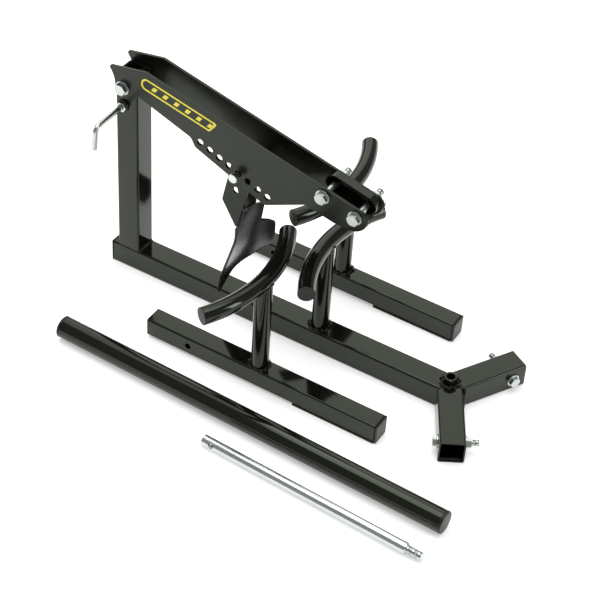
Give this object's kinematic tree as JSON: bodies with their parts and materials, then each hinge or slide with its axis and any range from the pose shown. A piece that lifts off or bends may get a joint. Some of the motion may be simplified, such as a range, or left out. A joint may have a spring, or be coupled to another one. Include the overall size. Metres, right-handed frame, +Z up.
{
  "type": "motorcycle tyre bead breaker stand",
  "caption": "Steel bead breaker with a twin-plate lever arm and hanging shoe on an upright post, laid out with two saddle legs, a handle bar and a spindle.",
  "frame": {"origin": "on the floor, on the underside of the base rail below the spindle nut's axis", "axes": "+X along the base rail from the post to the socket arms, +Z up, -Y towards the side with the clamp handle"},
  "size_m": [0.9168, 0.7129, 0.5008],
  "materials": {
    "black_paint": "gloss",
    "black_plastic": "satin",
    "zinc": "zinc plated",
    "bright_steel": "bright turned"
  },
  "bodies": {
    "frame": {"base_rail": "black_paint", "rail_end_plug": "black_plastic", "upright_post": "black_paint", "socket_arm_front": "black_paint", "socket_arm_back": "black_paint", "spindle_nut": "black_paint", "rail_saddle_tube": "black_paint", "rail_saddle_post": "black_paint", "rail_saddle_plug_front": "black_plastic", "rail_saddle_plug_back": "black_plastic", "socket_bolt_front": "zinc", "socket_bolt_back": "zinc", "socket_head_washer_front": "zinc", "socket_head_washer_back": "zinc", "socket_nut_washer_front": "zinc", "socket_nut_washer_back": "zinc", "socket_nut_front": "zinc", "socket_nut_back": "zinc", "pivot_bolt": "zinc", "pivot_washer_front": "zinc", "pivot_washer_back": "zinc", "pivot_nut": "zinc", "clamp_nut": "zinc"},
    "lever_arm": {"arm_plate_front": "black_paint", "arm_plate_back": "black_paint", "end_band": "black_paint", "arm_bolt_inner": "zinc", "arm_bolt_outer": "zinc", "arm_washer_inner_front": "zinc", "arm_washer_inner_back": "zinc", "arm_washer_outer_front": "zinc", "arm_washer_outer_back": "zinc", "arm_nut_inner": "zinc", "arm_nut_outer": "zinc"},
    "shoe": {"shoe_lug_front": "black_paint", "shoe_lug_back": "black_paint", "shoe_blade": "black_paint"},
    "shoe_pin": {"shoe_pin": "bright_steel"},
    "clamp_handle": {"clamp_handle": "zinc"},
    "front_leg": {"front_leg_tube": "black_paint", "front_foot_plate": "black_paint", "front_leg_cap": "black_plastic", "front_saddle_tube": "black_paint", "front_saddle_post": "black_paint", "front_saddle_plug_front": "black_plastic", "front_saddle_plug_back": "black_plastic"},
    "back_leg": {"back_leg_tube": "black_paint", "back_foot_plate": "black_paint", "back_leg_cap": "black_plastic", "back_saddle_tube": "black_paint", "back_saddle_post": "black_paint", "back_saddle_plug_front": "black_plastic", "back_saddle_plug_back": "black_plastic"},
    "handle_bar": {"handle_bar": "black_paint", "bar_cap_left": "black_plastic", "bar_cap_right": "black_plastic"},
    "spindle": {"spindle": "bright_steel"}
  },
  "joints": [
    {"name": "lever_pivot", "type": "hinge", "parent": "frame", "child": "lever_arm", "pos_m": [-0.728, 0, 0.447], "axis": [0, -1, 0], "range_deg": [0, 60]},
    {"name": "shoe_swing", "type": "hinge", "parent": "lever_arm", "child": "shoe", "pos_m": [-0.4672, 0, 0.35964], "axis": [0, -1, 0], "range_deg": [-60, 0]},
    {"name": "shoe_pin_slide", "type": "slide", "parent": "lever_arm", "child": "shoe_pin", "axis": [0, -1, 0], "range_m": [0, 0.09]},
    {"name": "clamp_handle_turn", "type": "hinge", "parent": "frame", "child": "clamp_handle", "pos_m": [-0.7315, -0.06, 0.402], "axis": [0, -1, 0], "continuous": true},
    {"name": "front_leg_lift", "type": "slide", "parent": "frame", "child": "front_leg", "axis": [0, -0.8, 0.6], "range_m": [0, 0.25]},
    {"name": "back_leg_lift", "type": "slide", "parent": "frame", "child": "back_leg", "axis": [0, 0.8, 0.6], "range_m": [0, 0.25]},
    {"name": "handle_bar_lift", "type": "slide", "parent": "frame", "child": "handle_bar", "axis": [0, -0.8, 0.6], "range_m": [0, 0.25]},
    {"name": "spindle_lift", "type": "slide", "parent": "frame", "child": "spindle", "axis": [0, -0.8, 0.6], "range_m": [0, 0.25]}
  ],
  "couplings": [
    {"joint": "shoe_swing", "follows": "lever_pivot", "ratio": -1}
  ]
}
